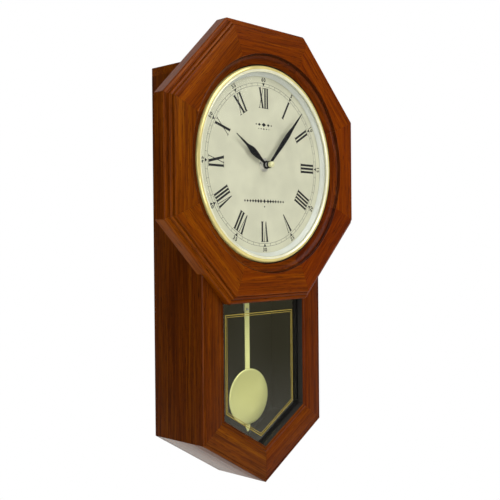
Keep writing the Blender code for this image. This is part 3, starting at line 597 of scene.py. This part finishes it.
def dial_group():
    """Dial, sloping ring, bezel, crystal, sensor and nut, each as a turned profile."""
    disc = [(0.0050, 0.0871), (0.1159, 0.0871), (0.1159, 0.0863), (0.0050, 0.0863)]
    lathe("dial_disc", disc, CREAM, nodes=["dial_plate"])
    ring = [(0.10965, 0.0875), (0.11362, 0.0918), (0.1140, 0.0920)]
    ring += [(0.1158, 0.0920), (0.1158, 0.0874), (0.1100, 0.0874)]
    lathe("slanted_ring", ring, REHAUT, nodes=["rehaut_ring"])
    bezel = [(0.1144, 0.0947), (0.1144, 0.0951)] + arc((0.1180, 0.0924), (0.0036, 0.0039), 145, 85, 8)
    bezel += arc((0.1183, 0.0928), (0.0035, 0.0035), 80, 0, 10)
    bezel += [(0.1218, 0.0893), (0.1161, 0.0893), (0.1161, 0.0947)]
    ring = lathe("bezel", bezel, BRASS, steps=256, nodes=["bezel_ring"], crease=40)
    # painted highlight: the inner lip takes the paler, less metallic brass
    ring.data.materials.append(LIP_HIGHLIGHT_BRASS)
    for face in ring.data.polygons:
        if math.hypot(face.center.x, face.center.y) < BEZEL_LIP:
            face.material_index = 1
    outer = arc((0, 0.0944), (0.1141, 0.0116), 90, 0, 28)
    inner = arc((0, 0.0924), (0.1123, 0.0116), 0, 90, 28)
    outer[0], inner[-1] = (0, 0.1060), (0, 0.1040)
    dome = outer + [(0.1156, 0.0944), (0.1156, 0.0922), (0.1130, 0.0922)] + inner
    lathe("dome_crystal", dome, CRYSTAL, nodes=["crystal"], closed=False, crease=60)
    sensor = [(0, 0.0873), (0.0008, 0.0873), (0.0010, 0.0872), (0.0010, 0.0864), (0, 0.0864)]
    lathe("sensor_window", sensor, BLACK, at=(0.0, -0.052), steps=32, nodes=["light_sensor"],
          closed=False)
    hexagon = [(0.0062 * math.cos(i * math.pi / 3), 0.0062 * math.sin(i * math.pi / 3)) for i in range(6)]
    plate("hex_nut", [hexagon, circle(0.0048, count=48)], 0.0876, 0.0899, SILVER, nodes=["dial_nut"],
          bevel=0.0002)
    washer = [(0.0050, 0.0876), (0.0082, 0.0876), (0.0084, 0.0874), (0.0084, 0.0872), (0.0050, 0.0872)]
    lathe("nut_washer", washer, SILVER, steps=64)


# ---------------------------------------------------------------- dial print
PRINT = (0.08712, 0.08716)                     # back and front of the printed ink
NUMERAL_OUTER, NUMERAL_INNER = 0.0960, 0.0705
NUMERAL_SPACE = 0.004                          # between strokes, as a share of the height
WIDEST, WIDEST_WITH_V = 0.70, 0.80             # a wider numeral is squeezed to this
TRACK = (0.0980, 0.1016)                       # the two rings of the minute track
TRACK_LINE = 0.00017
NUMBER_RADIUS = 0.1058
HOURS = ("XII", "I", "II", "III", "IIII", "V", "VI", "VII", "VIII", "IX", "X", "XI")


def strokes(character):
    """Condensed Roman strokes as polygons in a cell of its own width; unit height."""
    bar, hair, serif = 0.112, 0.036, 0.026
    if character == "I":
        width = 0.172
        mid = width / 2
        upright = rectangle(mid - bar / 2, mid + bar / 2, 0, 1)
        return width, [upright, rectangle(0, width, 0, serif), rectangle(0, width, 1 - serif, 1)]
    slant = bar * 1.12
    if character == "V":
        width = 0.350
        foot = width / 2
        polygons = [[(0.025, 1), (0.025 + slant, 1), (foot + 0.024, 0), (foot - 0.020, 0)],
                    [(width - 0.040 - hair, 1), (width - 0.040, 1), (foot + 0.024, 0), (foot, 0)]]
    else:
        width = 0.400
        polygons = [[(0.025, 1), (0.025 + slant, 1), (width - 0.015, 0), (width - 0.015 - slant, 0)],
                    [(width - 0.070, 1), (width - 0.070 + hair, 1), (0.070, 0), (0.070 - hair, 0)],
                    rectangle(0.0, 0.130, 0, serif), rectangle(width - 0.180, width, 0, serif)]
    polygons += [rectangle(0.0, 0.190, 1 - serif, 1), rectangle(width - 0.130, width, 1 - serif, 1)]
    return width, polygons


def print_on_dial(name, polygons):
    """Merge flat polygons into one thin printed piece."""
    points, faces = [], []
    for index, polygon in enumerate(polygons):
        start = len(points)
        count = len(polygon)
        lift = 0.000002 * (index % 3)
        points += [(x, y, PRINT[0]) for x, y in polygon] + [(x, y, PRINT[1] + lift) for x, y in polygon]
        faces.append(tuple(range(start, start + count))[::-1])
        faces.append(tuple(range(start + count, start + 2 * count)))
        for i in range(count):
            j = (i + 1) % count
            faces.append((start + i, start + j, start + count + j, start + count + i))
    mesh = bpy.data.meshes.new(name)
    mesh.from_pydata(points, [], faces)
    work = bmesh.new()
    work.from_mesh(mesh)
    bmesh.ops.recalc_face_normals(work, faces=work.faces)
    work.to_mesh(mesh)
    work.free()
    mesh.materials.append(INK)
    thing = bpy.data.objects.new(name, mesh)
    scene.collection.objects.link(thing)
    thing.location = (0, 0, DIAL_Z)
    thing.rotation_euler = (math.pi / 2, 0, 0)
    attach(thing, "root")


def around(polygon, clockwise):
    """Turn an outline clockwise about the dial centre."""
    c, s = math.cos(clockwise), math.sin(clockwise)
    return [(x * c + y * s, y * c - x * s) for x, y in polygon]


def numerals():
    """The twelve Roman hours, each turned to stand on the centre."""
    height = NUMERAL_OUTER - NUMERAL_INNER
    for hour, name in enumerate(HOURS):
        glyphs, cursor = [], 0.0
        for character in name:
            width, polygons = strokes(character)
            glyphs += [[(x + cursor, y) for x, y in polygon] for polygon in polygons]
            cursor += width + NUMERAL_SPACE
        squeeze = min(1.0, (WIDEST_WITH_V if "V" in name else WIDEST) / cursor)
        placed = []
        for polygon in glyphs:
            scaled = [((x - cursor / 2) * height * squeeze, NUMERAL_INNER + y * height) for x, y in polygon]
            placed.append(around(scaled, hour * math.pi / 6))
        print_on_dial("numeral_%02d" % (hour or 12), placed)


def minute_track():
    """Two fine rings with a tick at each minute and a triangle at each hour."""
    marks = []
    triangle = [(-0.0025, TRACK[1] + 0.0004), (0.0025, TRACK[1] + 0.0004), (0.0, TRACK[0])]
    for minute in range(60):
        mark = rectangle(-0.00018, 0.00018, *TRACK) if minute % 5 else triangle
        marks.append(around(mark, minute * math.pi / 30))
    for radius in TRACK:
        for i in range(120):
            corners = []
            for reach, angles in ((radius - TRACK_LINE, (i, i + 1)), (radius + TRACK_LINE, (i + 1, i))):
                for step in angles:
                    a = step * math.pi / 60
                    corners.append((reach * math.sin(a), reach * math.cos(a)))
            marks.append(corners)
    print_on_dial("minute_track", marks)


def dial_ornament():
    """Two small rows of diamonds, (x, y, half width, half height), with tapered lines below."""
    gems = [(0, 0.0500, 0.0040, 0.0026), (0, 0.0448, 0.0017, 0.0012), (0, -0.0452, 0.0026, 0.0026)]
    for side in (-1, 1):
        gems += [(side * 0.0082, 0.0500, 0.0026, 0.0018), (side * 0.0138, 0.0500, 0.0014, 0.0011)]
        gems += [(side * 0.0050, 0.0448, 0.0013, 0.0009), (side * 0.0094, 0.0448, 0.0010, 0.0007)]
        for i in range(7):
            x = side * (0.0064 + 0.0048 * i)
            gems.append((x, -0.0452, 0.0022 - 0.00012 * i, 0.0027 - 0.00018 * i))
    diamonds = [[(x - w, y), (x, y - h), (x + w, y), (x, y + h)] for x, y, w, h in gems]
    tapers = []
    for side in (-1, 1):
        tapers.append([(side * 0.0030, -0.0456), (side * 0.0030, -0.0448), (side * 0.0365, -0.0452)])
    print_on_dial("dial_ornament", diamonds + tapers)


def small_numbers():
    """Minute numbers outside the track, in a plain face."""
    for step in range(12):
        curve = bpy.data.curves.new("minute_number", "FONT")
        curve.body = str(step * 5 or 60)
        curve.size = 0.0066
        curve.offset = 0.00020
        curve.space_character = 1.25
        curve.align_x = "CENTER"
        curve.align_y = "CENTER"
        curve.extrude = 0.00002
        mesh = curve_mesh("minute_number", curve)
        turn = step * math.pi / 6
        # the lower numbers are printed to be read from below
        flip = math.pi if 3 < step < 9 else 0.0
        spot = (NUMBER_RADIUS * math.sin(turn), NUMBER_RADIUS * math.cos(turn), 0.08715)
        mesh.transform(Matrix.Translation(spot) @ Matrix.Rotation(flip - turn, 4, "Z"))
        finish_piece("minute_number_%02d" % (step * 5 or 60), mesh, INK, (0, 0), 0, "root", (),
                     30, False)


def hand(name, node, back, boss, stations, hole, angle, body):
    """A flat leaf hand with a rounded edge; stations are (distance from the arbor, half width)."""
    edge = []
    for (start, first), (end, last) in zip(stations, stations[1:]):
        for i in range(12):
            t = i / 12
            eased = (1 - math.cos(math.pi * t)) / 2
            edge.append((first + (last - first) * eased, start + (end - start) * t))
    edge.append((stations[-1][1], stations[-1][0]))
    edge = [point for point in edge if math.hypot(*point) > boss]
    loop = arc((0, 0), (boss, boss), -250, 70, 48) + edge + [(-x, y) for x, y in reversed(edge)]
    plate(name, [loop, circle(hole, count=48)], back, back + 0.0008, ENAMEL, turn=angle, body=body,
          nodes=[node], bevel=0.00012)


def hands():
    minute = math.radians(42.5)
    hour = math.radians(300) + minute / 12
    hand("hour_pointer", "hour_hand", 0.0908, 0.0052,
         [(0.0045, 0.0016), (0.0280, 0.0046), (0.0440, 0.0014), (0.0628, 0.0004)], 0.0029, hour, "hour")
    hand("minute_pointer", "minute_hand", 0.0956, 0.0046,
         [(0.0040, 0.0019), (0.0480, 0.0034), (0.0760, 0.0014), (0.0940, 0.0005)], 0.0017, minute, "minute")
    cap = [(0, 0.1030)] + arc((0.0, 0.1008), (0.0036, 0.0021), 80, 0, 8)
    cap += [(0.0034, 0.0967), (0.0018, 0.0967), (0.0018, 0.1000), (0, 0.1000)]
    lathe("arbor_cap", cap, CAP_BRASS, steps=64, body="minute", nodes=["hand_cap"],
          closed=False)


# ---------------------------------------------------------------- pendulum
def pendulum():
    half, top, tip = 0.0041, -0.172, -0.3375
    strip = arc((0, top - half), (half, half), 0, 180, 24)
    strip += [(-half, tip + 0.006), (-0.0012, tip), (0.0012, tip), (half, tip + 0.006)]
    plate("pendulum_strip", [strip, circle(0.0016, (0, -0.1817), 32)], 0.0540, 0.0552, ROD_BRASS,
          body="pendulum", nodes=["pendulum_rod"], bevel=0.0002)
    dome = [(0, 0.0600)]
    for i in range(1, 24):
        a = i * math.pi / 48
        dome.append((0.0355 * math.sin(a), 0.0568 + 0.0032 * math.cos(a)))
    dome += [(0.0355, 0.0566), (0.0355, 0.0561), (0.0350, 0.0556), (0, 0.0556)]
    lathe("bob_disc", dome, BOB_BRASS, at=(0, -0.2928), body="pendulum", nodes=["pendulum_bob"],
          closed=False)


# ---------------------------------------------------------------- carried-over nodes
def dress():
    """Give every CAD node that stays its finish."""
    finishes = {
        BACKING: ["back_panel"],
        wood("cleat_wood", 0, 61, 0.8): ["hanger_cleat"],
        # painted shade: the glass beads and the window head take the near-black material
        PAINTED_SHADE: ["glass_bead_left", "glass_bead_right", "window_head"],
        BLACK: ["dial_pan", "movement_case", "movement_front_plate", "battery_cover", "volume_knob",
                "time_set_knob", "speaker", "pendulum_drive_case"],
        NYLON: ["train_plate", "minute_wheel", "hour_wheel", "chime_selector", "test_button",
                "pendulum_leader"],
        STEEL: ["hanger_plate", "hanger_screw_left", "hanger_screw_right", "battery_contact_left",
                "battery_contact_right", "cannon_pinion", "pendulum_magnet"],
        BOARD_GREEN: ["circuit_board"],
        COPPER: ["motor_module", "pendulum_coil"],
        CELL: ["battery_left", "battery_right"],
    }
    for material, names in finishes.items():
        for name in names:
            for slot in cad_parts[name].material_slots:
                slot.material = material


# ---------------------------------------------------------------- surroundings
def surroundings():
    """Floor and air that look white but give little light, and the soft lamps."""
    scene.view_settings.view_transform = "Standard"
    scene.view_settings.look = "None"
    floor_material = Nodes("floor")
    floor_material.set(Base_Color=(0.8, 0.8, 0.8, 1), Roughness=0.9)
    seen_only(floor_material)
    mesh = bpy.data.meshes.new("floor")
    corners = [(x, y, FLOOR_Z) for x, y in rectangle(-8, 8, -8, 8)]
    mesh.from_pydata(corners, [], [(0, 1, 2, 3)])
    mesh.materials.append(floor_material.material)
    floor = bpy.data.objects.new("floor", mesh)
    scene.collection.objects.link(floor)

    world = bpy.data.worlds.new("air")
    world.use_nodes = True
    tree = world.node_tree
    pale = tree.nodes["Background"]
    pale.inputs["Color"].default_value = (1, 1, 1, 1)
    pale.inputs["Strength"].default_value = 1.0
    fill = tree.nodes.new("ShaderNodeBackground")
    fill.inputs["Color"].default_value = (1, 1, 1, 1)
    fill.inputs["Strength"].default_value = 0.05
    seen = tree.nodes.new("ShaderNodeLightPath")
    blend = tree.nodes.new("ShaderNodeMixShader")
    tree.links.new(seen.outputs["Is Camera Ray"], blend.inputs[0])
    tree.links.new(fill.outputs[0], blend.inputs[1])
    tree.links.new(pale.outputs[0], blend.inputs[2])
    tree.links.new(blend.outputs[0], tree.nodes["World Output"].inputs["Surface"])
    scene.world = world

    for name, place, aim, size, power, colour in LAMPS:
        data = bpy.data.lights.new(name, "AREA")
        data.shape = "RECTANGLE"
        data.size, data.size_y = size
        data.energy = power
        data.color = colour
        lamp = bpy.data.objects.new(name, data)
        scene.collection.objects.link(lamp)
        lamp.location = place
        lamp.visible_camera = False
        lamp.rotation_euler = (Vector(aim) - Vector(place)).to_track_quat("-Z", "Y").to_euler()


def seen_only(nodes):
    """White to the eye, but no more than its own pale colour as a light."""
    glow = nodes.node("Emission")
    glow.inputs["Strength"].default_value = 1.0
    blend = nodes.node("MixShader")
    nodes.link(nodes.node("LightPath").outputs["Is Camera Ray"], blend.inputs[0])
    nodes.link(nodes.shader.outputs[0], blend.inputs[1])
    nodes.link(glow.outputs[0], blend.inputs[2])
    nodes.link(blend.outputs[0], nodes.tree.nodes["Material Output"].inputs["Surface"])


FLOOR_Z = -0.9
CENTRE = (0, -0.05, -0.2)
WHITE = (1, 1, 1)
# name, place, aim, size, watts, colour
LAMPS = (
    ("key", (0.5, -1.9, 1.5), CENTRE, (2.2, 2.2), 52, WHITE),
    ("left", (-1.8, -0.7, 1.4), CENTRE, (1.4, 1.4), 12, WHITE),
    ("back_high", (0.1, 1.4, 1.5), CENTRE, (1.4, 1.4), 5.5, WHITE),
    ("back_fill", (0.45, 1.9, 0.2), CENTRE, (1.6, 1.6), 12, WHITE),
    ("bounce", (0.30, 0.42, -0.75), (-0.05, -0.045, -0.465), (0.8, 0.8), 0.30, (1.0, 0.78, 0.50)),
    ("olive_card", (1.21, -1.20, -0.62), (0.0, -0.08, -0.36), (0.62, 0.66), 0.36, (1.0, 0.92, 0.45)),
    ("window_card", (-0.30, -1.0, -0.36), (0.0, -0.06, -0.38), (0.32, 0.32), 1.9, (1.0, 0.99, 0.97)),
    ("left_card", (-2.1, -1.0, -0.4), CENTRE, (1.6, 1.6), 16, WHITE),
    ("right_card", (2.1, -0.1, -0.3), CENTRE, (1.2, 1.4), 6, WHITE),
)

octagon()
case()
lining()
window()
dial_group()
numerals()
minute_track()
dial_ornament()
small_numbers()
hands()
pendulum()
dress()
surroundings()
